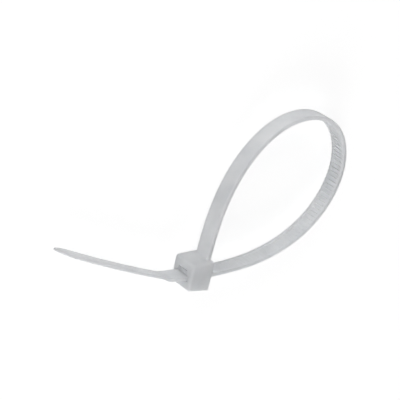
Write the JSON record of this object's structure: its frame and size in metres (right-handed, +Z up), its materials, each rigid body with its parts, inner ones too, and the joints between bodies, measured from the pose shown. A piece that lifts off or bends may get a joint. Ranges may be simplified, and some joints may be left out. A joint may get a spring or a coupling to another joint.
{
  "type": "cable tie",
  "caption": "One-piece nylon cable tie closed into a loose teardrop loop: a toothed strap runs through a slotted head with a spring pawl and ends in a kinked tail.",
  "frame": {"origin": "centre of the bounding box at its bottom, on the surface that the tie lies on", "axes": "+X runs from the tail's tip towards the far end of the loop, +Y from the far end of the head towards the strap's root, +Z up across the width of the strap; the loop lies in the XY plane"},
  "size_m": [0.0928, 0.0474, 0.0079],
  "materials": {
    "nylon": "translucent natural nylon, soft satin gloss, as moulded"
  },
  "bodies": {
    "root": {"cable_tie": "nylon"}
  },
  "joints": []
}
